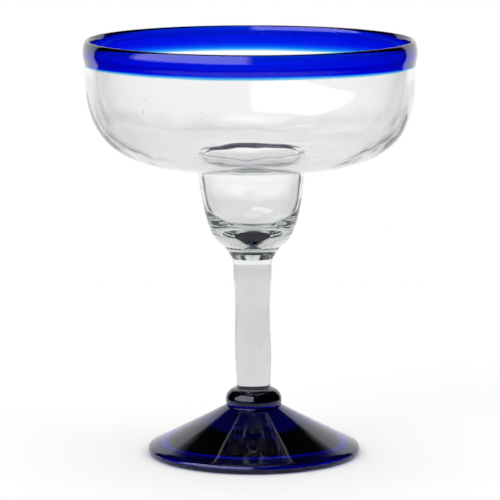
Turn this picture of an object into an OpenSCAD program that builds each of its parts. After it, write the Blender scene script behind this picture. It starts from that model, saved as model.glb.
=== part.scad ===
// Hand-blown margarita glass: a wide clear bowl that steps down into a small cup,
// a cobalt lip wrapped round the mouth, a solid clear stem, and a cobalt knob and foot.
// Every piece is a gather of hot glass, turned on one axis and fused to the next one.
// Lengths are in millimetres. The foot stands on z = 0 and the axis is Z.

/* [Foot] */
// Width across the rounded edge of the foot
foot_d = 85.2; // [70:0.2:100]
// Height of the cone, from the floor to the knob
foot_h = 20; // [16:0.5:26]
// Radius that rounds the edge of the foot
foot_edge_r = 1.9; // [1:0.1:3]
// Slope of the cone where it leaves the edge, in degrees
foot_slope = 26; // [20:1:34]
// Width of the flat ring that the foot stands on
foot_ring_w = 3.7; // [2:0.1:8]
// Thickness of the glass at the middle of the foot, above the hollow
foot_crown = 14; // [11:0.5:15]
// Width of the scar that the pontil rod leaves under the foot
pontil_d = 17; // [10:1:24]
// Depth to which the scar is ground away
pontil_depth = 0.7; // [0.3:0.1:1.5]

/* [Knob] */
// Width of the knob
knob_d = 22.6; // [19:0.2:28]
// Height of the knob, from the foot to the stem
knob_h = 6.5; // [5:0.5:10]
// Height of the widest place above the foot
knob_equator_h = 1.8; // [1:0.1:3]
// How far the knob is drawn in above the crease at the foot
knob_tuck = 0.5; // [0.2:0.1:1]

/* [Stem] */
// Length of the stem, from the knob to the cup
stem_h = 53; // [42:1:85]
// Width at the knob
stem_foot_d = 13.4; // [11:0.2:16]
// Width of the soft swelling above the knob
stem_belly_d = 14.5; // [12:0.1:18]
// Height of that swelling above the knob
stem_belly_h = 13.5; // [10:0.5:20]
// Width at the slimmest place
stem_waist_d = 13.9; // [11:0.1:18]
// Distance of the slimmest place below the cup
stem_waist_drop = 20.5; // [14:0.5:26]
// Width where the stem starts to flare under the cup
stem_neck_d = 15.5; // [13.5:0.1:16]
// Height of the flare under the cup
stem_flare_h = 3.5; // [2:0.5:8]
// Width of the fused seam between the stem and the cup
stem_head_d = 16.4; // [15.8:0.2:19]

/* [Cup] */
// Width of the cup, the narrow lower part of the bowl
cup_d = 42.1; // [36:0.1:50]
// Height of the cup, from the stem to the underside of the bowl
cup_h = 36.8; // [30:0.2:48]
// Height of the cup's straight wall, above its taper
cup_straight_h = 3.4; // [2:0.2:8]
// Height of the neck, where the cup draws in to the stem
cup_neck_h = 5; // [3:0.2:8]
// Width at the top of the neck
cup_neck_d = 23; // [20:0.5:26]
// Slope of the neck at its top, in degrees
cup_neck_slope = 57; // [45:1:65]
// Thickness of the cup's wall
cup_wall = 1.9; // [1.2:0.1:3.5]
// Thickness of the glass between the stem and the inside of the cup
cup_floor = 8.4; // [6:0.1:12]
// Radius that rounds the bottom inside the cup
cup_tip_r = 14; // [9:0.5:18]
// How much the bottom inside the cup spreads as it rises
cup_spread = 1; // [0.5:0.1:2]

/* [Bowl] */
// Width of the clear bowl under the lip
bowl_d = 131.3; // [110:0.1:150]
// Height of the rounded part of the bowl, above its underside
bowl_round_h = 39.2; // [30:0.2:60]
// Height of the straight wall between the rounded part and the lip
bowl_straight_h = 0.6; // [0.2:0.2:20]
// Thickness of the bowl's wall at its side
bowl_wall = 2.1; // [1.5:0.1:3]
// Thickness of the bowl's floor
bowl_floor = 2.6; // [2.2:0.1:4.5]
// Radius of the fillet under the bowl, where the cup hangs from it
bowl_fillet_r = 1; // [0.5:0.1:3]
// Width of the round shoulder inside, from the floor of the bowl into the cup
shoulder_w = 4; // [3:0.1:9]
// Height of that shoulder
shoulder_h = 2; // [1.5:0.1:6]

/* [Lip] */
// How far the cobalt lip stands out past the clear wall
lip_proud = 0.75; // [0.2:0.05:1.5]
// Height of the cobalt band, from its feathered edge to the top of the lip
lip_h = 10.8; // [8:0.2:11]
// Thickness of the lip
lip_t = 2.9; // [2.6:0.1:4.4]
// Height of the widest place below the top of the lip
lip_crown_h = 5.8; // [4:0.1:7]
// Height of the slanting seam between the clear wall and the cobalt lip
lip_scarf_h = 4; // [2:0.1:4.5]

/* [Hidden] */
// Powers that set how square each rounded outline is, along the radius and the height
bowl_radius_power = 4.5;
bowl_height_power = 2.6;
cup_radius_power = 5.4;
cup_height_power = 1.15;
hollow_radius_power = 2.2;
hollow_height_power = 1.6;
// How sharply the wall inside the cup turns into its round bottom
cup_turn_power = 8;
// Angle at which the stem's flare runs into the cup, in degrees
flare_angle = 30;
// Where the lip's top lies across its thickness, from the inside
lip_top_share = 0.42;
// How far down its crown the inside of the lip starts to round over
lip_inner_share = 0.45;
// How far the foot's top stands out past the knob, as a share of the edge radius
foot_step_share = 0.35;
// Steps along each curved outline, and round the axis
curve_steps = 20;
$fn = 180;

foot_r = foot_d / 2;
knob_r = knob_d / 2;
cup_r = cup_d / 2;
bowl_r = bowl_d / 2;
lip_r = bowl_r + lip_proud;
stem_foot_r = stem_foot_d / 2;
stem_belly_r = stem_belly_d / 2;
stem_waist_r = stem_waist_d / 2;
stem_neck_r = stem_neck_d / 2;
stem_head_r = stem_head_d / 2;
cup_neck_r = cup_neck_d / 2;
hollow_r = foot_r - foot_edge_r - foot_ring_w;
hollow_h = foot_h - foot_crown;
cup_taper_h = cup_h - cup_neck_h - cup_straight_h;
knob_seat_r = knob_r - knob_tuck;
cup_in_r = cup_r - cup_wall;
bowl_in_r = bowl_r - bowl_wall;
lip_in_r = lip_r - lip_t;
lip_top_r = lip_in_r + lip_top_share * lip_t;
shoulder_out_r = cup_in_r + shoulder_w;

// The heights of the seams, one piece standing on the next
knob_z = foot_h;
stem_z = knob_z + knob_h;
cup_z = stem_z + stem_h;
bowl_z = cup_z + cup_h;
round_z = bowl_z + bowl_round_h;
lip_z = round_z + bowl_straight_h;
lip_top_z = lip_z + lip_h;
crown_z = lip_top_z - lip_crown_h;
scarf_z = lip_z + lip_scarf_h;
lip_inner_z = lip_top_z - lip_inner_share * lip_crown_h;
inner_round_h = bowl_round_h - bowl_floor;

// A point of a rounded outline: at 0 degrees on the axis, depth below the widest place,
// and at 90 degrees at the widest place
function round_point(radius, depth, p, q, a) =
    [radius * pow(sin(a), 2 / p), -depth * pow(cos(a), 2 / q)];
// The angle at which that outline reaches radius r, and its depth below the widest place
function round_angle(radius, p, r) = asin(pow(r / radius, p / 2));
function round_depth(radius, depth, p, q, r) = depth * pow(1 - pow(r / radius, p), 1 / q);
// The outline from angle a to angle b, its widest place at height z
function round_curve(radius, depth, p, q, z, a, b) =
    [for (i = [0 : curve_steps])
        let (pt = round_point(radius, depth, p, q, a + (b - a) * i / curve_steps))
        [pt[0], z + pt[1]]];
// An arc of an ellipse about a centre, from angle a to angle b
function arc(centre, rx, rz, a, b, steps) =
    [for (i = [0 : steps]) let (t = a + (b - a) * i / steps)
        [centre[0] + rx * cos(t), centre[1] + rz * sin(t)]];
// A soft curve from one place to the next, upright at both ends
function ease(from, to, steps) =
    [for (i = [0 : steps]) let (t = i / steps)
        [from[0] + (to[0] - from[0]) * (1 - cos(180 * t)) / 2, from[1] + (to[1] - from[1]) * t]];
// A bend from one place to another, leaving at the given slope, by one control point
function bend(from, to, slope, steps) =
    let (reach = (from[0] - to[0]) / 2, mid = [from[0] - reach, from[1] + reach * tan(slope)])
    [for (i = [0 : steps]) let (t = i / steps)
        pow(1 - t, 2) * from + 2 * t * (1 - t) * mid + t * t * to];

cup_neck_z = cup_z + cup_neck_h;
cup_round_z = cup_neck_z
    + round_depth(cup_r, cup_taper_h, cup_radius_power, cup_height_power, cup_neck_r);
cup_inner_z = cup_z + cup_floor;
// The radius of the cup's outside at height z
function cup_side_r(z) =
    cup_r * pow(1 - pow(max(cup_round_z - z, 0) / cup_taper_h, cup_height_power), 1 / cup_radius_power);
floor_fillet_r = cup_r + bowl_fillet_r;
floor_fillet_z = round_z
    - round_depth(bowl_r, bowl_round_h, bowl_radius_power, bowl_height_power, floor_fillet_r);
shoulder_z = round_z
    - round_depth(bowl_in_r, inner_round_h, bowl_radius_power, bowl_height_power, shoulder_out_r)
    - shoulder_h;

// Inside, the cup follows its outside and closes in a round bottom: a blend of two radii,
// one of the wall and one of the bottom, that meets the shoulder at the cup's inner radius
function blend(a, b, power) = pow(pow(a, -power) + b, -1 / power);
function bottom_r(z) =
    sqrt(2 * cup_tip_r * (z - cup_inner_z) + cup_spread * pow(z - cup_inner_z, 2));
function bottom_term(z) = pow(bottom_r(z), -cup_turn_power);
cup_wall_r = blend(cup_in_r, -bottom_term(shoulder_z), cup_turn_power);
function cup_inside_r(z) =
    blend(cup_wall_r * cup_side_r(z) / cup_r, bottom_term(z), cup_turn_power);

// The cobalt foot: a cone with a rounded edge, hollow underneath, with a ground pontil scar
module foot() {
    edge = [foot_r - foot_edge_r, foot_edge_r];
    step_w = foot_step_share * foot_edge_r;
    edge_arc = arc(edge, foot_edge_r, foot_edge_r, -90, 90 - foot_slope, curve_steps / 2);
    step_arc = arc([knob_seat_r, foot_h - step_w], step_w, step_w, 0, 90, 5);
    cone = bend(edge_arc[len(edge_arc) - 1], step_arc[0], foot_slope, curve_steps / 2);
    hollow = round_curve(hollow_r, hollow_h, hollow_radius_power, hollow_height_power, 0, 90, 0);
    color("midnightblue") difference() {
        rotate_extrude() polygon(concat(
            [for (p = hollow) [p[0], -p[1]]],
            [[0, foot_h]],
            [for (i = [len(step_arc) - 1 : -1 : 0]) step_arc[i]],
            [for (i = [len(cone) - 2 : -1 : 1]) cone[i]],
            [for (i = [len(edge_arc) - 1 : -1 : 0]) edge_arc[i]]));
        cylinder(h = hollow_h + pontil_depth, d = pontil_d);
    }
}

// The cobalt knob: a flattened ball with a flat seat for the stem, drawn in at the crease
module foot_knob() {
    equator_z = knob_z + knob_equator_h;
    tuck = arc([knob_seat_r, equator_z], knob_tuck, knob_equator_h, -90, 0, curve_steps / 4);
    dome = arc([stem_foot_r, equator_z], knob_r - stem_foot_r, knob_h - knob_equator_h,
        0, 90, curve_steps);
    color("darkblue") rotate_extrude() polygon(concat(
        [[0, knob_z]], tuck, [for (i = [1 : len(dome) - 1]) dome[i]], [[0, stem_z]]));
}

// The solid clear stem: a soft swelling, a waist, and a flare into the bottom of the cup
module stem() {
    neck = [stem_neck_r, cup_z - stem_flare_h];
    flare_rz = stem_flare_h / sin(flare_angle);
    flare_rx = (stem_head_r - stem_neck_r) / (1 - cos(flare_angle));
    belly = [stem_belly_r, stem_z + stem_belly_h];
    waist = [stem_waist_r, cup_z - stem_waist_drop];
    lower = ease([stem_foot_r, stem_z], belly, curve_steps / 2);
    middle = ease(belly, waist, curve_steps / 2);
    upper = ease(waist, neck, curve_steps / 2);
    flare = arc(neck + [flare_rx, 0], flare_rx, flare_rz, 180, 180 - flare_angle, curve_steps / 2);
    color("whitesmoke") rotate_extrude() polygon(concat(
        [[0, stem_z]], lower, [for (i = [1 : len(middle) - 1]) middle[i]],
        [for (i = [1 : len(upper) - 1]) upper[i]], [for (i = [1 : len(flare) - 1]) flare[i]],
        [[0, cup_z]]));
}

// The clear blown piece: the cup with its round inside, the shoulder and the wide bowl,
// whose wall runs out under the lip as a slanting scarf
module bowl() {
    cup_start = round_angle(cup_r, cup_radius_power, cup_neck_r);
    neck = bend([cup_neck_r, cup_neck_z], [stem_head_r, cup_z], -cup_neck_slope, curve_steps / 2);
    cup_side = round_curve(cup_r, cup_taper_h, cup_radius_power, cup_height_power,
        cup_round_z, cup_start, 90);
    fillet = arc([floor_fillet_r, floor_fillet_z - bowl_fillet_r], bowl_fillet_r, bowl_fillet_r,
        180, 90, curve_steps / 4);
    underside = round_curve(bowl_r, bowl_round_h, bowl_radius_power, bowl_height_power, round_z,
        round_angle(bowl_r, bowl_radius_power, floor_fillet_r), 90);
    inside = round_curve(bowl_in_r, inner_round_h, bowl_radius_power, bowl_height_power, round_z,
        90, round_angle(bowl_in_r, bowl_radius_power, shoulder_out_r));
    shoulder = arc([shoulder_out_r, shoulder_z], shoulder_w, shoulder_h, 90, 180, curve_steps / 2);
    well_h = shoulder_z - cup_inner_z;
    well = [for (i = [0 : curve_steps - 1]) let (z = cup_inner_z + well_h * pow(1 - i / curve_steps, 2))
        [cup_inside_r(z), z]];
    color("gainsboro") rotate_extrude() polygon(concat(
        [[0, cup_z]], [for (i = [len(neck) - 1 : -1 : 1]) neck[i]], cup_side, fillet,
        [for (i = [1 : len(underside) - 1]) underside[i]],
        [[bowl_r, lip_z], [bowl_in_r, scarf_z]], inside,
        [for (i = [1 : len(shoulder) - 1]) shoulder[i]], [for (i = [1 : len(well) - 1]) well[i]],
        [[0, cup_inner_z]]));
}

// The cobalt lip: a thick rounded bead that thins out over the scarf of the clear wall
module rim_wrap() {
    swell = ease([bowl_r, lip_z], [lip_r, crown_z], curve_steps / 2);
    crown = arc([lip_top_r, crown_z], lip_r - lip_top_r, lip_crown_h, 0, 90, curve_steps / 2);
    inner = arc([lip_top_r, lip_inner_z], lip_top_r - lip_in_r, lip_top_z - lip_inner_z,
        90, 180, curve_steps / 2);
    back = ease([lip_in_r, lip_inner_z], [bowl_in_r, scarf_z], curve_steps / 2);
    color("mediumblue") rotate_extrude() polygon(concat(
        swell, [for (i = [1 : len(crown) - 1]) crown[i]], [for (i = [1 : len(inner) - 1]) inner[i]],
        [for (i = [1 : len(back) - 1]) back[i]]));
}

foot();
foot_knob();
stem();
bowl();
rim_wrap();
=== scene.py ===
# %% [markdown]
# # A hand-blown margarita glass
# The real glass is made of five gathers of hot glass on one axis: a clear bubble that is both
# bowl and cup, a cobalt wrap round its lip, a solid clear stem, and a cobalt knob on a cobalt
# foot. Each is drawn here as an outline and turned about the axis, because that is how the glass
# got its shape too. The light, the colour through the glass and the small unevenness of
# handwork come after that. The measured model is loaded first, as the frame that all of it fits.

# %% Load the measured model
import math
import random

import bpy
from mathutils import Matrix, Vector


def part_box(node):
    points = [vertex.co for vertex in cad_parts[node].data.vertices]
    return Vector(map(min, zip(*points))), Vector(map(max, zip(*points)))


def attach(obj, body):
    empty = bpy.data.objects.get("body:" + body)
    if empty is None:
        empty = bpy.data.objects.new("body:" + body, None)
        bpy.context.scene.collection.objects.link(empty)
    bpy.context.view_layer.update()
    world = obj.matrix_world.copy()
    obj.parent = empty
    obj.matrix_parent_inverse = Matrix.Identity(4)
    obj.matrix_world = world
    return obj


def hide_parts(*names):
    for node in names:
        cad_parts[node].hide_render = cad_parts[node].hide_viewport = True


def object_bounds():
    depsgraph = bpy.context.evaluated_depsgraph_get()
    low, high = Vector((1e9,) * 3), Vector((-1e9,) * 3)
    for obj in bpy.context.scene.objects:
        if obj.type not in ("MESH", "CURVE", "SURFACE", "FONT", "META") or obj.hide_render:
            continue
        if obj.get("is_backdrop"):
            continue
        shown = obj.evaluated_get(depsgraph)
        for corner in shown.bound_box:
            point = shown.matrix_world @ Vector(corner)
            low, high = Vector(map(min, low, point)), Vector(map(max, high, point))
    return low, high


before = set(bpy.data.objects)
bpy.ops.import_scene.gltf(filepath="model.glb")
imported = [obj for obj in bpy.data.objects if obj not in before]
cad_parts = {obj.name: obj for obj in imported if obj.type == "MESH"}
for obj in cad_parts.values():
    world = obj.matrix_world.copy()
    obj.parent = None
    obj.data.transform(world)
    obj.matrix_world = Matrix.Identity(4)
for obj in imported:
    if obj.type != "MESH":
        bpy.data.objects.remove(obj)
CAD_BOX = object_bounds()
MM = 0.001
print("measured nodes:", sorted(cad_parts))
print("measured box in mm:", [round(v / MM, 1) for corner in CAD_BOX for v in corner])


# %% [markdown]
# ## The camera
# A glass is photographed from far away with a long lens, so that its foot and its lip keep their
# true proportions. The ellipses of the lip and the foot give the camera's height. A Track To
# constraint could aim it, but the direction turned into a rotation once is all that it takes.

# %% Camera
CAMERA_PLACE = Vector((0, -1.3, 0.286))
CAMERA_AIM = Vector((0, 0, 0.0825))
CAMERA_LENS_MM = 236.9
CAMERA_SENSOR_MM = 36

bpy.ops.object.camera_add(location=CAMERA_PLACE)
camera = bpy.context.object
camera.rotation_euler = (CAMERA_AIM - CAMERA_PLACE).to_track_quat("-Z", "Y").to_euler()
camera.data.lens = CAMERA_LENS_MM
camera.data.sensor_width = CAMERA_SENSOR_MM
bpy.context.scene.camera = camera
bpy.context.scene.view_settings.view_transform = "Standard"
pitch = math.degrees(math.atan2(CAMERA_PLACE.z - CAMERA_AIM.z, -CAMERA_PLACE.y))
print("camera looks down by", round(pitch, 1), "degrees")


# %% [markdown]
# ## Shader maths as plain expressions
# Materials and the studio around the glass are node trees. Drawing each Math node by hand hides
# the formula, so this small class wraps a socket: an expression on it adds the Math nodes, and
# node() adds any other node, its settings first and then what goes into its sockets.

# %% A socket that takes part in arithmetic
class Shade:
    """An output of a node tree, or the bare tree when it wraps no socket yet."""

    def __init__(self, tree, socket=None):
        self.tree = tree
        self.socket = socket

    def node(self, kind, settings=None, sockets=None, output=0):
        made = self.tree.nodes.new(kind)
        for name, setting in (settings or {}).items():
            setattr(made, name, setting)
        for name, value in (sockets or {}).items():
            if isinstance(value, Shade):
                self.tree.links.new(value.socket, made.inputs[name])
            else:
                made.inputs[name].default_value = value
        return Shade(self.tree, made.outputs[output] if made.outputs else None)

    def math(self, operation, *values):
        return self.node("ShaderNodeMath", {"operation": operation}, dict(enumerate(values)))

    def __add__(self, other):
        return self.math("ADD", self, other)

    __radd__ = __add__

    def __sub__(self, other):
        return self.math("SUBTRACT", self, other)

    def __rsub__(self, other):
        return self.math("SUBTRACT", other, self)

    def __mul__(self, other):
        return self.math("MULTIPLY", self, other)

    __rmul__ = __mul__

    def __abs__(self):
        return self.math("ABSOLUTE", self)

    def rise(self, low, high):
        """0 below low, 1 above high, and a soft step between them."""
        return self.node("ShaderNodeMapRange", {"interpolation_type": "SMOOTHSTEP"},
                         {"Value": self, "From Min": low, "From Max": high})

    def band(self, low, high, soft):
        """1 between low and high, with soft edges of that half width."""
        return self.rise(low - soft, low + soft) * (1 - self.rise(high - soft, high + soft))

    def reaches(self, count):
        """1 where a whole number is count or more, and 0 where it is less."""
        return self.rise(count - 1, count)

    def part(self, axis):
        """One coordinate of a vector, by the letter of its axis."""
        return self.node("ShaderNodeSeparateXYZ", {}, {"Vector": self}, axis)

    def length(self):
        return self.node("ShaderNodeVectorMath", {"operation": "LENGTH"}, {0: self}, "Value")

    def bearing(self):
        """Degrees round the glass that a vector points, from the front, minus to the left."""
        return self.math("ARCTAN2", self.part("X"), -1 * self.part("Y")) * math.degrees(1)


# %% [markdown]
# ## The studio
# Glass has no look of its own: it shows what stands round it. The studio has a white backdrop
# behind the glass, a large softbox up at the front left, and a dark room in front, where the
# camera stands. Real cards could stand there, but the camera may go round the glass, so the studio
# is a map of directions in the world, in degrees round the glass and above the table.

# %% World
BACKDROP_EDGE = (133, 138)      # from the front, where the backdrop begins
BACKDROP_NARROWS = (12, 36)     # the heights between which it narrows
NARROWING = 20                  # what it loses on each side
BACKDROP_TOP = (46, 52)
SOFTBOX_SIDE = (-88, -2)
SOFTBOX_HEIGHT = (10, 64)
SOFTBOX_SOFT = 5                # half the width of its soft edge
SOFTBOX_LEVEL = 4.2
TOP_LIGHT = (70, 80)
TOP_LIGHT_LEVEL = 1.6
DARK_LEVEL = 0.015

world = bpy.data.worlds.new("studio")
bpy.context.scene.world = world
world.use_nodes = True
world.node_tree.nodes.clear()
sky = Shade(world.node_tree)
direction = sky.node("ShaderNodeTexCoord", output="Generated")
turn = direction.bearing()
climb = sky.math("ARCSINE", direction.part("Z")) * math.degrees(1)

inward = abs(turn) - NARROWING * climb.rise(*BACKDROP_NARROWS)
backdrop = inward.rise(*BACKDROP_EDGE) * (1 - climb.rise(*BACKDROP_TOP))
softbox = turn.band(*SOFTBOX_SIDE, SOFTBOX_SOFT) * climb.band(*SOFTBOX_HEIGHT, SOFTBOX_SOFT)
top_light = climb.rise(*TOP_LIGHT)
reflected = DARK_LEVEL + backdrop + SOFTBOX_LEVEL * softbox + TOP_LIGHT_LEVEL * top_light
print("nodes of the studio map:", len(world.node_tree.nodes))

# %% [markdown]
# ### What each sort of ray sees
# The camera sees white, and diffuse light one plain level. Light that the glass only bends sees the
# bright backdrop wherever it goes. Light that the outside of the glass mirrors sees the studio map.
# Light that was mirrored inside the glass before it left sees a lit room with dark places, and
# these draw the dark lines along the edges of the walls. Light Path tells them apart: Glossy Depth
# counts the mirrorings, and Transmission Depth is 2 after one solid piece and 4 after both walls of
# the bowl. One plain world for all rays would be simpler, but the glass would hardly show in it.

# %% Levels by ray
PLAIN_LEVEL = 0.90
BACKDROP_LEVEL = 1.11
CAMERA_SIDE = (15, 35)          # from the front: the dark side, where the camera stands
CEILING_GAP = (44, 70)          # the dark strip between the backdrop and the top light
LOW_GAP = (-26, -2)             # the dark strip over the front of the table
FRONT_END = (138, 150)          # from the front, where the front of the room ends
GAP_SOFT = 3
BACK_SHARE = 0.12               # what the back wall mirrors of the softbox
BOUNCES = 24                    # the way through two walls, with what they mirror, is long

ray = {name: sky.node("ShaderNodeLightPath", output=name) for name in
       ("Is Camera Ray", "Is Glossy Ray", "Is Transmission Ray", "Glossy Depth",
        "Transmission Depth")}
mirrored = ray["Glossy Depth"].reaches(1)
from_back = ray["Transmission Depth"].reaches(4) * (1 - ray["Glossy Depth"].reaches(2))
in_front = 1 - abs(turn).rise(*FRONT_END)
lit_room = abs(turn).rise(*CAMERA_SIDE) * (1 - climb.band(*CEILING_GAP, GAP_SOFT))
lit_room = lit_room * (1 - climb.band(*LOW_GAP, GAP_SOFT) * in_front)
lit_room = lit_room * (1 - from_back * in_front)
within = DARK_LEVEL + (1 - DARK_LEVEL) * lit_room
within = within + BACK_SHARE * SOFTBOX_LEVEL * softbox * from_back

level = PLAIN_LEVEL + ray["Is Transmission Ray"] * (BACKDROP_LEVEL - PLAIN_LEVEL)
reflected = reflected + ray["Is Transmission Ray"] * (within - reflected)
level = level + ray["Is Glossy Ray"] * mirrored * (reflected - level)
level = level + ray["Is Camera Ray"] * (1 - level)
background = sky.node("ShaderNodeBackground", {}, {"Color": level})
sky.node("ShaderNodeOutputWorld", {}, {"Surface": background})
for kind in ("max", "transmission", "glossy", "transparent_max"):
    setattr(bpy.context.scene.cycles, kind + "_bounces", BOUNCES)
print("nodes of the whole studio:", len(world.node_tree.nodes))


# %% [markdown]
# ## The table and the lamps
# The glass stands on a pale matt table. A plane would end in a hard edge, so this is a disc that
# thins out into the white of the studio, and keeps the shadow of the foot near its middle. Where it
# is seen through glass it glows with painted light of its own: a painted shadow under the foot,
# paler painted light beside it and bright painted light far away. Lamps could light it for that
# too, but each of them would change the glass as well. From below, the table can't be seen, so that
# the foot can.

# %% Table top
TABLE_R = 1.3
TABLE_GAP = 0.00005             # keeps the table clear of the ring that the foot stands on


def deselect_all():
    """Leaves edit mode and selects nothing, so that the next operator acts on one piece."""
    if bpy.context.object and bpy.context.object.mode != "OBJECT":
        bpy.ops.object.mode_set(mode="OBJECT")
    bpy.ops.object.select_all(action="DESELECT")


deselect_all()
bpy.ops.mesh.primitive_circle_add(vertices=96, radius=TABLE_R, fill_type="NGON",
                                  location=(0, 0, -TABLE_GAP))
table_top = bpy.context.object
table_top.name = "table_top"
print("table top", 2 * TABLE_R, "m across")

# %% Matt white paint, and painted light seen through the glass
TABLE_COLOUR = (0.97, 0.97, 0.97, 1)
TABLE_FADE = (0.26, 0.43)       # metres from the middle, where the matt white thins out
PAINTED_SHADOW_LEVEL, PAINTED_LIGHT_LEVEL = 0.02, 0.82   # painted shadow under the foot, and painted light beside it
RING_SHADE = (0.044, 0.070)     # metres, where the one turns into the other
TABLE_FAR = (0.50, 0.86)        # metres, where it reaches the backdrop's through two walls
UNLIT_FROM = (0.10, 0.20)       # metres, past which mirrored light sees no painted light in front
SIDE_FROM = (0.70, 0.85)        # metres, past which less painted light shows in front, through two walls
SIDE_EDGE = (140, 162)          # degrees from the front, where that ends
SIDE_LEVEL = 0.5                # the share of the painted light that is left there


def new_material(name):
    material = bpy.data.materials.new(name)
    material.use_nodes = True
    material.node_tree.nodes.clear()
    return material, Shade(material.node_tree)


paint, paper = new_material("matt_white_table")
place = paper.node("ShaderNodeTexCoord", output="Object")
from_middle = place.length()
matt = paper.node("ShaderNodeBsdfDiffuse", {}, {"Color": TABLE_COLOUR})
clear = paper.node("ShaderNodeBsdfTransparent")
faded = paper.node("ShaderNodeMixShader", {},
                   {0: from_middle.rise(*TABLE_FADE), 1: matt, 2: clear})

two_walls = paper.node("ShaderNodeLightPath", output="Transmission Depth").reaches(3)
was_mirrored = paper.node("ShaderNodeLightPath", output="Glossy Depth").reaches(1)
from_front = abs(place.bearing())
unlit = was_mirrored * from_middle.rise(*UNLIT_FROM) * (1 - from_front.rise(*FRONT_END))
aside = from_middle.rise(*SIDE_FROM) * (1 - from_front.rise(*SIDE_EDGE)) * two_walls
# Painted light on the table, an emission seen only through glass: a painted shadow under the foot,
# painted light beside it and brighter painted light far away.
painted_table_light = PAINTED_SHADOW_LEVEL + (PAINTED_LIGHT_LEVEL - PAINTED_SHADOW_LEVEL) * from_middle.rise(*RING_SHADE)
painted_table_light = painted_table_light + (BACKDROP_LEVEL - PAINTED_LIGHT_LEVEL) * from_middle.rise(*TABLE_FAR) * two_walls
painted_table_light = painted_table_light * (1 - unlit) * (1 - (1 - SIDE_LEVEL) * aside)
painted_light_emission = paper.node("ShaderNodeEmission", {}, {"Color": painted_table_light})

through = paper.node("ShaderNodeLightPath", output="Is Transmission Ray")
surface = paper.node("ShaderNodeMixShader", {}, {0: through, 1: faded, 2: painted_light_emission})
beneath = paper.node("ShaderNodeNewGeometry", output="Backfacing")
one_sided = paper.node("ShaderNodeMixShader", {}, {0: beneath, 1: surface, 2: clear})
paper.node("ShaderNodeOutputMaterial", {}, {"Surface": one_sided})
table_top.data.materials.append(paint)
table_top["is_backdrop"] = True
print("nodes of the paint:", len(paint.node_tree.nodes))

# %% [markdown]
# ### Lamps
# Area lamps of a metre give the plain soft light. Points or spots would throw a hard shadow. The
# reflections of the lamps are already part of the studio map, so the lamps themselves are hidden
# from whatever is mirrored or seen through glass.

# %% Lamps
LAMPS = {                       # place in metres, side in metres, watts
    "softbox_front_left": ((-1.1, -1.3, 1.5), 1.0, 5.0),
    "fill_right": ((1.4, -0.6, 1.3), 1.0, 2.5),
    "top_light": ((0, 0.3, 2.0), 1.2, 4.0),
}

for name, (lamp_place, side, watts) in LAMPS.items():
    bpy.ops.object.light_add(type="AREA", location=lamp_place)
    lamp = bpy.context.object
    lamp.name = name
    lamp.rotation_euler = (-Vector(lamp_place)).to_track_quat("-Z", "Y").to_euler()
    lamp.data.size = side
    lamp.data.energy = watts
    lamp.visible_camera = lamp.visible_glossy = lamp.visible_transmission = False
print("lamps:", ", ".join(LAMPS))


# %% [markdown]
# ## Outlines
# Each gather is a body of revolution, so an outline in the XZ plane holds its whole shape. The
# bowl and the cup are squarer than an ellipse, as a bubble blown into a mould is, and a power
# of the radius and of the height says how square. The stem and the seams are soft curves.

# %% Curves that outlines are made of
SAME_PLACE = 1e-6               # mm, between the end of one curve and the start of the next


def rounded(radius, depth, powers, z, start, end, steps):
    """A squared ellipse from one angle to another: 0 is on the axis, 90 at the widest place, z."""
    p, q = powers
    angles = [math.radians(start + (end - start) * i / steps) for i in range(steps + 1)]
    return [(radius * max(math.sin(a), 0) ** (2 / p), z - depth * max(math.cos(a), 0) ** (2 / q))
            for a in angles]


def rounded_angle(radius, powers, r):
    """The angle at which a squared ellipse is r wide."""
    return math.degrees(math.asin((r / radius) ** (powers[0] / 2)))


def rounded_depth(radius, depth, powers, r):
    """How far below its widest place a squared ellipse is r wide."""
    return depth * (1 - (r / radius) ** powers[0]) ** (1 / powers[1])


def rounded_radius(radius, depth, powers, below):
    """How wide a squared ellipse is, that far below its widest place."""
    return radius * (1 - (below / depth) ** powers[1]) ** (1 / powers[0])


def arc(centre, rx, rz, start, end, steps):
    angles = [math.radians(start + (end - start) * i / steps) for i in range(steps + 1)]
    return [(centre[0] + rx * math.cos(a), centre[1] + rz * math.sin(a)) for a in angles]


def line(start, end, steps):
    return [(start[0] + (end[0] - start[0]) * i / steps, start[1] + (end[1] - start[1]) * i / steps)
            for i in range(steps + 1)]


def ease(start, end, steps):
    """A soft curve, upright at both ends."""
    return [(start[0] + (end[0] - start[0]) * (1 - math.cos(math.pi * i / steps)) / 2,
             start[1] + (end[1] - start[1]) * i / steps) for i in range(steps + 1)]


def bend(start, end, slope, steps):
    """A bend between two places that leaves at the given slope, by one control point."""
    reach = (start[0] - end[0]) / 2
    mid = (start[0] - reach, start[1] + reach * math.tan(math.radians(slope)))
    shares = [i / steps for i in range(steps + 1)]
    return [tuple((1 - t) ** 2 * a + 2 * t * (1 - t) * b + t * t * c
                  for a, b, c in zip(start, mid, end)) for t in shares]


def joined(*curves):
    """One outline from curves that each start where the last one ended."""
    outline = list(curves[0])
    for curve in curves[1:]:
        same = math.dist(outline[-1], curve[0]) < SAME_PLACE
        outline += curve[1:] if same else curve
    return outline


# %% [markdown]
# ## From an outline to glass
# An outline is drawn as by hand: a small plane is merged into one point, which is extruded from
# place to place. Spin then turns it round the axis. The last copy lies on the first, so the
# doubles are merged before the normals are made to point outwards. A hidden seam between two
# gathers is marked on its faces: there is no surface inside fused glass, so the material will
# leave those faces out.

# %% Draw an outline and turn it
TURN_STEPS = 192
MERGE = 1e-6                    # metres, for points that are one
SEAM_SLACK = 0.045              # mm, for finding a seam's faces by their place


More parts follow.
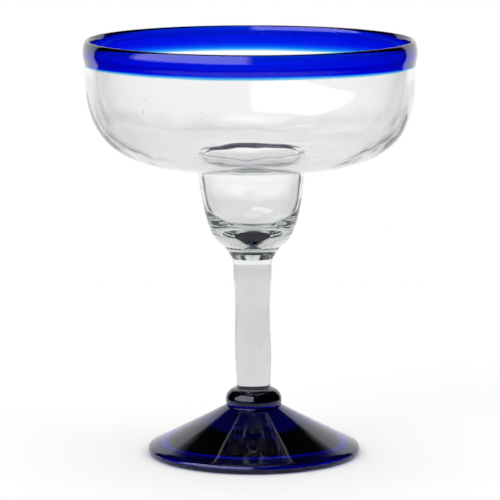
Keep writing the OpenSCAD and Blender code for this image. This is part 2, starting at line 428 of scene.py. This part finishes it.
def turned(name, outline):
    """A piece turned about the Z axis from an outline of (radius, height) places in mm."""
    deselect_all()
    r, h = outline[0]
    bpy.ops.mesh.primitive_plane_add(size=MM, location=(r * MM, 0, h * MM))
    bpy.ops.object.transform_apply(location=True)
    piece = bpy.context.object
    piece.name = piece.data.name = name
    bpy.ops.object.mode_set(mode="EDIT")
    bpy.ops.mesh.select_all(action="SELECT")
    bpy.ops.mesh.merge(type="CENTER")
    for (r0, h0), (r1, h1) in zip(outline, outline[1:]):
        step = ((r1 - r0) * MM, 0, (h1 - h0) * MM)
        bpy.ops.mesh.extrude_region_move(TRANSFORM_OT_translate={"value": step})
    bpy.ops.mesh.select_all(action="SELECT")
    bpy.ops.mesh.spin(steps=TURN_STEPS, angle=math.tau, center=(0, 0, 0), axis=(0, 0, 1))
    bpy.ops.mesh.select_all(action="SELECT")
    bpy.ops.mesh.remove_doubles(threshold=MERGE)
    bpy.ops.mesh.normals_make_consistent(inside=False)
    bpy.ops.object.mode_set(mode="OBJECT")
    print(name, "has", len(piece.data.polygons), "faces from", len(outline), "points")
    return piece


def mark_seams(piece, is_seam):
    """Marks the faces whose middle is_seam(radius, height), in mm, puts on a fused seam."""
    fused = piece.data.attributes.new("fused", "FLOAT", "FACE")
    for face in piece.data.polygons:
        cx, cy, cz = face.center / MM
        fused.data[face.index].value = float(is_seam(math.hypot(cx, cy), cz))
    print(piece.name, "seam faces:", sum(int(item.value) for item in fused.data))


def on_disc(radius, height):
    """A seam that is a flat disc on the axis."""
    return lambda r, h: r < radius and abs(h - height) < SEAM_SLACK


def either(*seams):
    """All of those seams as one."""
    return lambda r, h: any(seam(r, h) for seam in seams)


# %% [markdown]
# ## The clear bowl and cup
# One bubble of clear glass, about 2 mm thick at its side and thicker towards its floor. Inside,
# the floor of the bowl rolls over a round shoulder into the cup. Boolean cuts could hollow it,
# but an outline that runs up the outside and back down the inside gives clean smooth faces,
# which glass needs, because every facet would show as a bent line behind it.

# %% Measures of the bowl and the cup
def node_span(node):
    """The widest radius, lowest and highest place of a measured node, in mm."""
    low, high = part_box(node)
    return (high.x - low.x) / 2 / MM, low.z / MM, high.z / MM


BOWL_R, CUP_Z, SCARF_Z = node_span("bowl")
LIP_R, LIP_Z, LIP_TOP_Z = node_span("rim_wrap")
WALL, FLOOR = 2.1, 2.6          # mm thick
BOWL_POWERS = (4.5, 2.6)
BOWL_UPRIGHT = 0.6              # where it starts to round, below the cobalt's lower edge
CUP_R, CUP_H, CUP_STRAIGHT, CUP_WALL, CUP_FLOOR = 21.05, 36.8, 3.4, 1.9, 8.4
CUP_POWERS = (5.4, 1.15)
FILLET_R = 1                    # outside, where the cup hangs from the bowl
SHOULDER_R, SHOULDER_H = 4, 2   # inside, where the floor turns down into the cup
STEM_HEAD_R = 8.2               # where the stem is fused on
NECK_H, NECK_R_TOP, NECK_SLOPE = 5.0, 11.5, 57      # the cup's bottom, drawn in to the stem

ROUND_Z = LIP_Z - BOWL_UPRIGHT
BOWL_H = ROUND_Z - CUP_Z - CUP_H
BOWL_IN_R, BOWL_IN_H = BOWL_R - WALL, BOWL_H - FLOOR
CUP_IN_R = CUP_R - CUP_WALL
SHOULDER_OUT_R = CUP_IN_R + SHOULDER_R
FILLET_OUT_R = CUP_R + FILLET_R
FILLET_Z = ROUND_Z - rounded_depth(BOWL_R, BOWL_H, BOWL_POWERS, FILLET_OUT_R)
SHOULDER_TOP_Z = ROUND_Z - rounded_depth(BOWL_IN_R, BOWL_IN_H, BOWL_POWERS, SHOULDER_OUT_R)
SHOULDER_Z = SHOULDER_TOP_Z - SHOULDER_H
CUP_TAPER = CUP_H - NECK_H - CUP_STRAIGHT
CUP_ROUND_Z = CUP_Z + NECK_H + rounded_depth(CUP_R, CUP_TAPER, CUP_POWERS, NECK_R_TOP)
print("bowl", round(2 * BOWL_R, 1), "mm across, cup", round(2 * CUP_R, 1), "mm across")

# %% [markdown]
# ### The inside of the cup
# The thick bottom of the cup is a lens, and shows the dark foot as a small spot. Its inside has
# the wall's even thickness higher up and a round bottom of its own. Two curves could meet in a
# corner there, so one radius is worked out from both, and it turns softly from the one to the
# other. The places crowd towards the bottom, where the curve is tightest.

# %% The well of the cup
WELL_TIP_R = 14                 # radius of the bend at the very bottom
WELL_SPREAD = 1                 # -1 makes it a ball, 0 a dish, 1 opens it further
WELL_TURN = 8                   # the more, the tighter it turns into the wall
WELL_STEPS = 48


def blend(radius, term):
    """A radius that stays under this one, and under the one that the term stands for."""
    return (radius ** -WELL_TURN + term) ** (-1 / WELL_TURN)


def bottom_term(h):
    """What the round bottom adds to the blend at a height inside the cup."""
    up = h - CUP_Z - CUP_FLOOR
    return math.sqrt(2 * WELL_TIP_R * up + WELL_SPREAD * up ** 2) ** -WELL_TURN


def cup_side(h):
    """The radius of the outside of the cup at a height."""
    return rounded_radius(CUP_R, CUP_TAPER, CUP_POWERS, max(CUP_ROUND_Z - h, 0))


well_wall_r = blend(CUP_IN_R, -bottom_term(SHOULDER_Z))
well_depth = SHOULDER_Z - CUP_Z - CUP_FLOOR
well_heights = [CUP_Z + CUP_FLOOR + well_depth * (1 - i / WELL_STEPS) ** 2
                for i in range(WELL_STEPS)]
well = [(blend(well_wall_r * cup_side(h) / CUP_R, bottom_term(h)), h) for h in well_heights]
print("well", round(well_depth, 1), "mm deep below the shoulder")

# %% Clear bowl
SCARF_SLACK = 0.06              # mm, for finding the slanting seam's faces by their place


def on_scarf(r, h):
    """The slanting seam under the lip, from the outside of the clear wall to its inside."""
    share = (h - LIP_Z) / (SCARF_Z - LIP_Z)
    scarf_r = BOWL_R + share * (BOWL_IN_R - BOWL_R)
    return 0 < share < 1 and abs(r - scarf_r) < SCARF_SLACK


bowl_outline = joined(
    line((0, CUP_Z), (STEM_HEAD_R, CUP_Z), 6),
    bend((NECK_R_TOP, CUP_Z + NECK_H), (STEM_HEAD_R, CUP_Z), -NECK_SLOPE, 12)[::-1],
    rounded(CUP_R, CUP_TAPER, CUP_POWERS, CUP_ROUND_Z,
            rounded_angle(CUP_R, CUP_POWERS, NECK_R_TOP), 90, 36),
    arc((FILLET_OUT_R, FILLET_Z - FILLET_R), FILLET_R, FILLET_R, 180, 90, 6),
    rounded(BOWL_R, BOWL_H, BOWL_POWERS, ROUND_Z,
            rounded_angle(BOWL_R, BOWL_POWERS, FILLET_OUT_R), 90, 48),
    line((BOWL_R, LIP_Z), (BOWL_IN_R, SCARF_Z), 8),
    rounded(BOWL_IN_R, BOWL_IN_H, BOWL_POWERS, ROUND_Z, 90,
            rounded_angle(BOWL_IN_R, BOWL_POWERS, SHOULDER_OUT_R), 48),
    arc((SHOULDER_OUT_R, SHOULDER_Z), SHOULDER_R, SHOULDER_H, 90, 180, 24),
    well + [(0, CUP_Z + CUP_FLOOR)])

clear_bowl = turned("clear_bowl", bowl_outline)
mark_seams(clear_bowl, either(on_scarf, on_disc(STEM_HEAD_R, CUP_Z)))

# %% [markdown]
# ## The cobalt lip
# A gather of cobalt glass wrapped over the edge of the bowl while both are hot. It is the whole
# thickness at the lip and feathers out downwards over the slanted edge of the clear wall, so the
# blue fades through cyan to nothing. A painted gradient would look the same from one side only:
# here the blue really gets thinner.

# %% Cobalt lip
LAP = 0.03                      # mm that one gather reaches into the next at a fused seam
LIP_T, LIP_CROWN = 2.9, 5.8     # its thickness, and the height of its rounded top
LIP_TOP_SHARE = 0.42            # how far across the thickness its highest place is
LIP_INNER_SHARE = 0.45          # how much of that height is rounded on the inside
LIP_IN_R = LIP_R - LIP_T
LIP_TOP_R = LIP_IN_R + LIP_TOP_SHARE * LIP_T
CROWN_Z = LIP_TOP_Z - LIP_CROWN
LIP_INNER_Z = LIP_TOP_Z - LIP_INNER_SHARE * LIP_CROWN

scarf = line((BOWL_IN_R, SCARF_Z), (BOWL_R, LIP_Z), 8)
lip_outline = joined(
    ease((BOWL_R, LIP_Z), (LIP_R, CROWN_Z), 14),
    arc((LIP_TOP_R, CROWN_Z), LIP_R - LIP_TOP_R, LIP_CROWN, 0, 90, 18),
    arc((LIP_TOP_R, LIP_INNER_Z), LIP_TOP_R - LIP_IN_R, LIP_TOP_Z - LIP_INNER_Z, 90, 180, 14),
    ease((LIP_IN_R, LIP_INNER_Z), (BOWL_IN_R, SCARF_Z), 12),
    [scarf[0]] + [(r - LAP, h - LAP / 2) for r, h in scarf[1:-1]] + [scarf[-1]])

cobalt_lip = turned("cobalt_lip", lip_outline)
mark_seams(cobalt_lip, on_scarf)

# %% [markdown]
# ## The clear stem
# A solid rod of clear glass, pulled out by hand: a little swollen above the knob, slimmest in
# the middle, and flared where it was pressed on to the cup.

# %% Clear stem
_, STEM_Z, _ = node_span("stem")
STEM_FOOT_R, BELLY_R, WAIST_R, NECK_R = 6.7, 7.25, 6.95, 7.75
BELLY_H = 13.5                  # above the knob
WAIST_DROP = 20.5               # below the cup
FLARE_H, FLARE_ANGLE = 3.5, 30

belly = (BELLY_R, STEM_Z + BELLY_H)
waist = (WAIST_R, CUP_Z - WAIST_DROP)
neck = (NECK_R, CUP_Z - FLARE_H)
flare_rx = (STEM_HEAD_R - NECK_R) / (1 - math.cos(math.radians(FLARE_ANGLE)))
flare_rz = FLARE_H / math.sin(math.radians(FLARE_ANGLE))
stem_outline = joined(
    line((0, STEM_Z), (STEM_FOOT_R, STEM_Z), 4),
    ease((STEM_FOOT_R, STEM_Z), belly, 20),
    ease(belly, waist, 20),
    ease(waist, neck, 20),
    arc((NECK_R + flare_rx, neck[1]), flare_rx, flare_rz, 180, 180 - FLARE_ANGLE, 16),
    [(STEM_HEAD_R - LAP, CUP_Z + LAP)],
    line((STEM_HEAD_R - LAP, CUP_Z + LAP), (0, CUP_Z + LAP), 6))

clear_stem = turned("clear_stem", stem_outline)
mark_seams(clear_stem,
           either(on_disc(STEM_FOOT_R, STEM_Z), on_disc(STEM_HEAD_R, CUP_Z + LAP)))

# %% [markdown]
# ## The cobalt knob and foot
# The knob is a drop of cobalt glass pressed flat between the stem and the foot, with a crease
# below it. The foot is a shallow cone with a rounded edge, spun open, so it is hollow underneath.
# Under its middle is the scar where the pontil rod broke off, ground away.

# %% Cobalt knob
_, KNOB_Z, _ = node_span("foot_knob")
KNOB_R, KNOB_TUCK = 11.3, 0.5
KNOB_EQUATOR = 1.8              # how far above the foot it is widest
KNOB_SEAT_R = KNOB_R - KNOB_TUCK
equator_z = KNOB_Z + KNOB_EQUATOR
knob_outline = joined(
    line((0, KNOB_Z), (KNOB_SEAT_R, KNOB_Z), 6),
    arc((KNOB_SEAT_R, equator_z), KNOB_TUCK, KNOB_EQUATOR, -90, 0, 10),
    arc((STEM_FOOT_R, equator_z), KNOB_R - STEM_FOOT_R, STEM_Z - equator_z, 0, 90, 24),
    line((STEM_FOOT_R - LAP, STEM_Z + LAP), (0, STEM_Z + LAP), 4))

cobalt_knob = turned("cobalt_knob", knob_outline)
mark_seams(cobalt_knob,
           either(on_disc(KNOB_SEAT_R, KNOB_Z), on_disc(STEM_FOOT_R, STEM_Z + LAP)))

# %% Cobalt foot
FOOT_R, _, FOOT_H = node_span("foot")
EDGE_R, SLOPE = 1.9, 26
RING_W = 3.7                    # the flat ring that the foot stands on
CROWN = 14                      # thickness of the foot over the middle of its hollow
PONTIL_R, PONTIL_DEPTH, PONTIL_ROUND = 8.5, 0.7, 0.25
HOLLOW_POWERS = (2.2, 1.6)
HOLLOW_R = FOOT_R - EDGE_R - RING_W
HOLLOW_H = FOOT_H - CROWN
TOP_ROUND = 0.35 * EDGE_R

edge_arc = arc((FOOT_R - EDGE_R, EDGE_R), EDGE_R, EDGE_R, -90, 90 - SLOPE, 14)
foot_shoulder = arc((KNOB_SEAT_R, FOOT_H - TOP_ROUND), TOP_ROUND, TOP_ROUND, 0, 90, 6)
pontil_top = HOLLOW_H + PONTIL_DEPTH
hollow_start = rounded_angle(HOLLOW_R, HOLLOW_POWERS, PONTIL_R)
hollow = [(r, -h) for r, h in
          rounded(HOLLOW_R, HOLLOW_H, HOLLOW_POWERS, 0, hollow_start, 90, 36)]
foot_outline = joined(
    line((0, pontil_top), (PONTIL_R - PONTIL_ROUND, pontil_top), 6),
    arc((PONTIL_R - PONTIL_ROUND, pontil_top - PONTIL_ROUND), PONTIL_ROUND, PONTIL_ROUND,
        90, 0, 4),
    hollow,
    line(hollow[-1], edge_arc[0], 3),
    edge_arc,
    bend(edge_arc[-1], foot_shoulder[0], SLOPE, 26),
    foot_shoulder,
    line((KNOB_SEAT_R - LAP, FOOT_H + LAP), (0, FOOT_H + LAP), 6))

cobalt_foot = turned("cobalt_foot", foot_outline)
mark_seams(cobalt_foot, on_disc(KNOB_SEAT_R, FOOT_H + LAP))

# %% [markdown]
# ## Seeds
# Hand-blown glass keeps a few tiny bubbles of air, called seeds, drawn out a little along the
# wall. A bubble is a hole in the glass, so each is a small closed shell whose faces point into
# the hole, joined to the piece. It is left out of the recalculation of normals, which would
# turn it inside out.

# %% Places of the seeds
rng = random.Random(20)
BOWL_SEEDS, STEM_SEEDS, FOOT_SEEDS = 26, 5, 7
BOWL_SEEDS_Z = (SHOULDER_TOP_Z + 6, LIP_Z - 4)
STEM_SEEDS_R, STEM_SEEDS_Z = (0, 5), (STEM_Z + 6, CUP_Z - 4)
FOOT_SEEDS_R = (14, 30)
SMALLEST_SEED, SEED_SPREAD = 0.09, 0.2      # radius in mm, and how much it may be larger
SEED_STRETCH = (0.8, 2.2)


def bowl_middle(height):
    """The radius of the middle of the bowl's wall at a height."""
    below = ROUND_Z - height
    out_r = rounded_radius(BOWL_R, BOWL_H, BOWL_POWERS, below)
    in_r = rounded_radius(BOWL_IN_R, BOWL_IN_H, BOWL_POWERS, below)
    return (out_r + in_r) / 2


def foot_middle(radius):
    """The height halfway between the hollow and the top of the foot, at a radius."""
    hollow_z = rounded_depth(HOLLOW_R, HOLLOW_H, HOLLOW_POWERS, radius)
    top_z = [h for r, h in foot_outline if r >= radius][-1]
    return (hollow_z + top_z) / 2


def seed_size():
    """Most seeds are small. The second number is how far they are drawn out."""
    return SMALLEST_SEED + SEED_SPREAD * rng.random() ** 3, rng.uniform(*SEED_STRETCH)


bowl_places = []
for _ in range(BOWL_SEEDS):
    height = rng.uniform(*BOWL_SEEDS_Z)
    bowl_places.append((bowl_middle(height), rng.uniform(0, math.tau), height, *seed_size()))
stem_places = [(rng.uniform(*STEM_SEEDS_R), rng.uniform(0, math.tau),
                rng.uniform(*STEM_SEEDS_Z), *seed_size()) for _ in range(STEM_SEEDS)]
foot_places = []
for _ in range(FOOT_SEEDS):
    radius = rng.uniform(*FOOT_SEEDS_R)
    azimuth = rng.uniform(0, math.tau)
    size, _ = seed_size()
    foot_places.append((radius, azimuth, foot_middle(radius), size, 1))
print("highest seed at", round(max(height for _, _, height, _, _ in bowl_places), 1), "mm")


# %% Air seeds
def add_seeds(piece, places):
    """Joins one bubble for each (radius, azimuth, height, size, stretch), in mm and radians."""
    shells = []
    for radius, azimuth, height, size, stretch in places:
        deselect_all()
        spot = Vector((radius * math.sin(azimuth), -radius * math.cos(azimuth), height)) * MM
        bpy.ops.mesh.primitive_ico_sphere_add(subdivisions=2, radius=size * MM, location=spot)
        bpy.ops.transform.resize(value=(1, 1, stretch))
        bpy.ops.object.transform_apply(location=True, scale=True)
        bpy.ops.object.mode_set(mode="EDIT")
        bpy.ops.mesh.select_all(action="SELECT")
        bpy.ops.mesh.flip_normals()
        bpy.ops.object.mode_set(mode="OBJECT")
        shells.append(bpy.context.object)
    deselect_all()
    for shell in shells:
        shell.select_set(True)
    piece.select_set(True)
    bpy.context.view_layer.objects.active = piece
    bpy.ops.object.join()
    print(piece.name, "holds", len(shells), "seeds")


add_seeds(clear_bowl, bowl_places)
add_seeds(clear_stem, stem_places)
add_seeds(cobalt_foot, foot_places)

# %% [markdown]
# ## Handwork
# A glass shaped by hand leans a little, and its walls wave. One lattice leans all the pieces
# together, and soft noise moves every point sideways by a fraction of a millimetre. All pieces
# get the same noise at the same place, so the fused seams stay closed. The inside of the bowl
# gets a little more of its own, fading out at the lip, because the wall is never evenly thick.

# %% Lattice and waves
LEAN_MM = (1.6, 1.15, 0.65, 0)  # how far each quarter stands off to the right, foot to lip
POINTS_PER_LAYER = 4            # two by two
WAVE_LENGTH = 0.034             # metres, about the width of a wave
ALONG_STRETCH = 1.1             # the waves towards the front are that much wider
INNER_LENGTH = 0.016
SEAM_LENGTH = 0.045


def noise_texture(name, length):
    texture = bpy.data.textures.new(name, "CLOUDS")
    texture.noise_scale = length
    return texture


bpy.ops.object.add(type="LATTICE", location=(0, 0, LIP_TOP_Z * MM / 2))
lattice = bpy.context.object
lattice.scale = (2 * LIP_R * MM, 2 * LIP_R * MM, LIP_TOP_Z * MM)
lattice.data.points_u, lattice.data.points_v, lattice.data.points_w = 2, 2, len(LEAN_MM)
lattice.data.interpolation_type_w = "KEY_CATMULL_ROM"
for index, point in enumerate(lattice.data.points):
    point.co_deform.x += LEAN_MM[index // POINTS_PER_LAYER] / (2 * LIP_R)

wave_x = noise_texture("wave_across", WAVE_LENGTH)
wave_y = noise_texture("wave_along", WAVE_LENGTH * ALONG_STRETCH)
inner_wave = noise_texture("wave_inside", INNER_LENGTH)
seam_wave = noise_texture("wave_of_the_band", SEAM_LENGTH)
print("lattice points:", len(lattice.data.points))

# %% Where the handwork acts
BAND_FROM = (LIP_Z - 9, LIP_Z - 1)              # heights that the band's waves come in between,
BAND_TO = (SCARF_Z + 0.5, LIP_TOP_Z - 1.5)      # and heights that they go out between
INNER_FROM_Z = CUP_Z + CUP_FLOOR - 0.5          # just under the inside of the cup
INNER_TO = (LIP_Z - 12, LIP_Z - 3)              # heights that the inner waves go out between
INNER_DEPTH = (0.6, 1.0)        # mm inwards from the outside, to find the inside by
INNER_FROM_R = (2, 7)           # mm from the axis, where the inner waves come in
OUTER_WALL = bowl_outline[:bowl_outline.index((BOWL_R, LIP_Z)) + 1]


def smooth(value, low, high):
    """0 below low, 1 above high, and a soft step between them."""
    share = min(max((value - low) / (high - low), 0), 1)
    return share * share * (3 - 2 * share)


def band_weight(r, h):
    """Full at the feathered edge of the cobalt, none at the lip and in the clear bowl."""
    return smooth(h, *BAND_FROM) * (1 - smooth(h, *BAND_TO))


def inner_weight(r, h):
    """Full on the inside of the bowl and cup, away from the lip and from the axis."""
    if not INNER_FROM_Z < h < LIP_Z:
        return 0
    r0, h0 = [place for place in OUTER_WALL if place[1] <= h][-1]
    r1, h1 = [place for place in OUTER_WALL if place[1] > h][0]
    outside = r0 + (r1 - r0) * (h - h0) / (h1 - h0)
    inside = smooth(outside - r, *INNER_DEPTH)
    return inside * (1 - smooth(h, *INNER_TO)) * smooth(r, *INNER_FROM_R)


def weigh(piece, name, weight, front=False):
    """A vertex group, weighed by (radius, height) in mm, and by how far in front if asked."""
    group = piece.vertex_groups.new(name=name)
    for vertex in piece.data.vertices:
        vx, vy, vz = vertex.co / MM
        value = weight(math.hypot(vx, vy), vz)
        if front:
            value *= 0.5 - 0.5 * vy / BOWL_R
        if value > 0:
            group.add([vertex.index], value, "REPLACE")
    return name


# %% Lean and waves
WAVE_MM, SEAM_WAVE_MM, INNER_WAVE_MM = 0.35, 0.6, 0.30
FRONT_LIFT_MM = 1.1             # how far the cobalt's lower edge rises at the front
SMOOTH_ANGLE = 20               # degrees, past which an edge stays sharp


def shape_by_hand(piece, inner=False):
    """Leans and waves a piece, and applies it to its mesh."""
    deselect_all()
    piece.select_set(True)
    bpy.context.view_layer.objects.active = piece
    steps = []

    def displace(name, texture, direction, strength, group=""):
        """Moves points by up to half the strength. With no texture, by just that half."""
        step = piece.modifiers.new(name, "DISPLACE")
        step.texture, step.direction, step.strength = texture, direction, strength * MM
        step.texture_coords, step.mid_level, step.vertex_group = "LOCAL", 0.5, group
        steps.append(step.name)

    if inner:
        displace("inside", inner_wave, "NORMAL", INNER_WAVE_MM, weigh(piece, "inner", inner_weight))
    displace("band", seam_wave, "Z", SEAM_WAVE_MM, weigh(piece, "band", band_weight))
    displace("lift", None, "Z", 2 * FRONT_LIFT_MM, weigh(piece, "lift", band_weight, front=True))
    displace("across", wave_x, "X", WAVE_MM)
    displace("along", wave_y, "Y", WAVE_MM)
    lean = piece.modifiers.new("lean", "LATTICE")
    lean.object = lattice
    steps.append(lean.name)
    before = [vertex.co.copy() for vertex in piece.data.vertices]
    for name in steps:
        bpy.ops.object.modifier_apply(modifier=name)
    moved = max((vertex.co - old).length for vertex, old in zip(piece.data.vertices, before))
    bpy.ops.object.shade_smooth_by_angle(angle=math.radians(SMOOTH_ANGLE))
    print(piece.name, "moved by up to", round(moved / MM, 2), "mm")


GLASS = [cobalt_foot, cobalt_knob, clear_stem, clear_bowl, cobalt_lip]
for piece in GLASS:
    shape_by_hand(piece, inner=piece is clear_bowl)
bpy.data.objects.remove(lattice)

# %% [markdown]
# ## Glass
# The surface of glass is clear: it only bends and reflects light. Its colour comes from the way
# that light takes through it, so a thin edge is pale and a thick foot nearly black. Volume
# Absorption does that, and a colour on the surface couldn't. The seam faces are made see-through
# by Alpha, faint cords left by the blowing are a Bump, and the ground scar and the ring that the
# foot stands on are rougher.

# %% Clear and cobalt glass
GLASS_IOR = 1.5
CLEAR_LOSS = (15, 13.5, 14)     # red, green and blue lost on the way, per metre
COBALT_LOSS = (5200, 1700, 95)
FOOT_LOSS = (5200, 3600, 85)
COBALT_SHINE = (0.76, 0.76, 1, 1)       # a bluish tint on what the cobalt mirrors
CORD_STRETCH = (0.4, 0.4, 1)    # draws the cords out round the glass
CORD_DETAIL = 1.5               # smooth, with a little that is finer


def cut_glass(name, loss, cord_size, cord_depth, rough=None, shine=(1, 1, 1, 1)):
    """Glass that loses that much red, green and blue on the way through it."""
    material, glass = new_material(name)
    place = glass.node("ShaderNodeTexCoord", output="Object")
    cords = glass.node("ShaderNodeMapping", {}, {"Vector": place, "Scale": CORD_STRETCH})
    cord = glass.node("ShaderNodeTexNoise", {}, {"Vector": cords, "Scale": 1 / cord_size,
                                                 "Detail": CORD_DETAIL})
    bump = glass.node("ShaderNodeBump", {}, {"Strength": 1, "Distance": cord_depth,
                                             "Height": cord})
    fused = glass.node("ShaderNodeAttribute", {"attribute_name": "fused"}, output="Fac")
    surface = glass.node("ShaderNodeBsdfPrincipled", {}, {
        "Base Color": (1, 1, 1, 1), "Roughness": rough(glass, place) if rough else 0.0,
        "IOR": GLASS_IOR, "Transmission Weight": 1.0, "Specular Tint": shine,
        "Alpha": 1 - fused, "Normal": bump})
    most = max(loss)
    passed = [1 - part / most for part in loss]
    depth = glass.node("ShaderNodeVolumeAbsorption", {}, {"Color": (*passed, 1), "Density": most})
    glass.node("ShaderNodeOutputMaterial", {}, {"Surface": surface, "Volume": depth})
    print(name, "has", len(material.node_tree.nodes), "nodes")
    return material


clear_glass = cut_glass("clear_blown_glass", CLEAR_LOSS, cord_size=0.006, cord_depth=0.00002)
lip_glass = cut_glass("cobalt_lip_glass", COBALT_LOSS, cord_size=0.007, cord_depth=0.000006,
                      shine=COBALT_SHINE)

# %% Cobalt glass with ground places
SCAR_ROUGH, RING_ROUGH = 0.42, 0.6
SCAR_EDGE = (PONTIL_R - 0.6, PONTIL_R - 0.1)        # the radius where the scar ends
SCAR_HEIGHT = (HOLLOW_H + 0.4, pontil_top + 0.3)    # between these it is the scar
SCAR_SOFT = 0.1
RING_HEIGHT = (0.02, 0.25)      # the height where the ground ring ends


def ground_places(glass, place):
    """Rough where the pontil scar was ground away and on the ring that the foot stands on."""
    height = place.part("Z") * (1 / MM)
    flat = glass.node("ShaderNodeVectorMath", {"operation": "MULTIPLY"},
                      {0: place, 1: (1, 1, 0)})
    radius = flat.length() * (1 / MM)
    scar = (1 - radius.rise(*SCAR_EDGE)) * height.band(*SCAR_HEIGHT, SCAR_SOFT)
    ring = 1 - height.rise(*RING_HEIGHT)
    return SCAR_ROUGH * scar + RING_ROUGH * ring


foot_glass = cut_glass("cobalt_foot_glass", FOOT_LOSS, cord_size=0.007, cord_depth=0.00003,
                       rough=ground_places, shine=COBALT_SHINE)

# %% [markdown]
# ### Which piece has which glass
# Each gather takes the place of one measured node and rides on the one body. The knob and the foot
# are one colour of glass.

# %% Put the glass on the pieces
FINISHES = {
    cobalt_foot: (foot_glass, "cobalt_foot", "foot"),
    cobalt_knob: (foot_glass, "cobalt_foot", "foot_knob"),
    clear_stem: (clear_glass, "clear_glass", "stem"),
    clear_bowl: (clear_glass, "clear_glass", "bowl"),
    cobalt_lip: (lip_glass, "cobalt_lip", "rim_wrap"),
}
for piece, (material, slot, node) in FINISHES.items():
    piece.data.materials.clear()
    piece.data.materials.append(material)
    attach(piece, "root")
    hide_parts(node)
print("glass pieces:", ", ".join(piece.name for piece in FINISHES))

# %% [markdown]
# ## Size
# Both boxes are printed, the measured one and that of the dressed glass, which is meant to stay
# inside it.

# %% Print the sizes
boxes = {"cad": CAD_BOX, "visual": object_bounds()}
for name, box in boxes.items():
    print(name, "box in mm:", [round(v / MM, 2) for corner in box for v in corner])
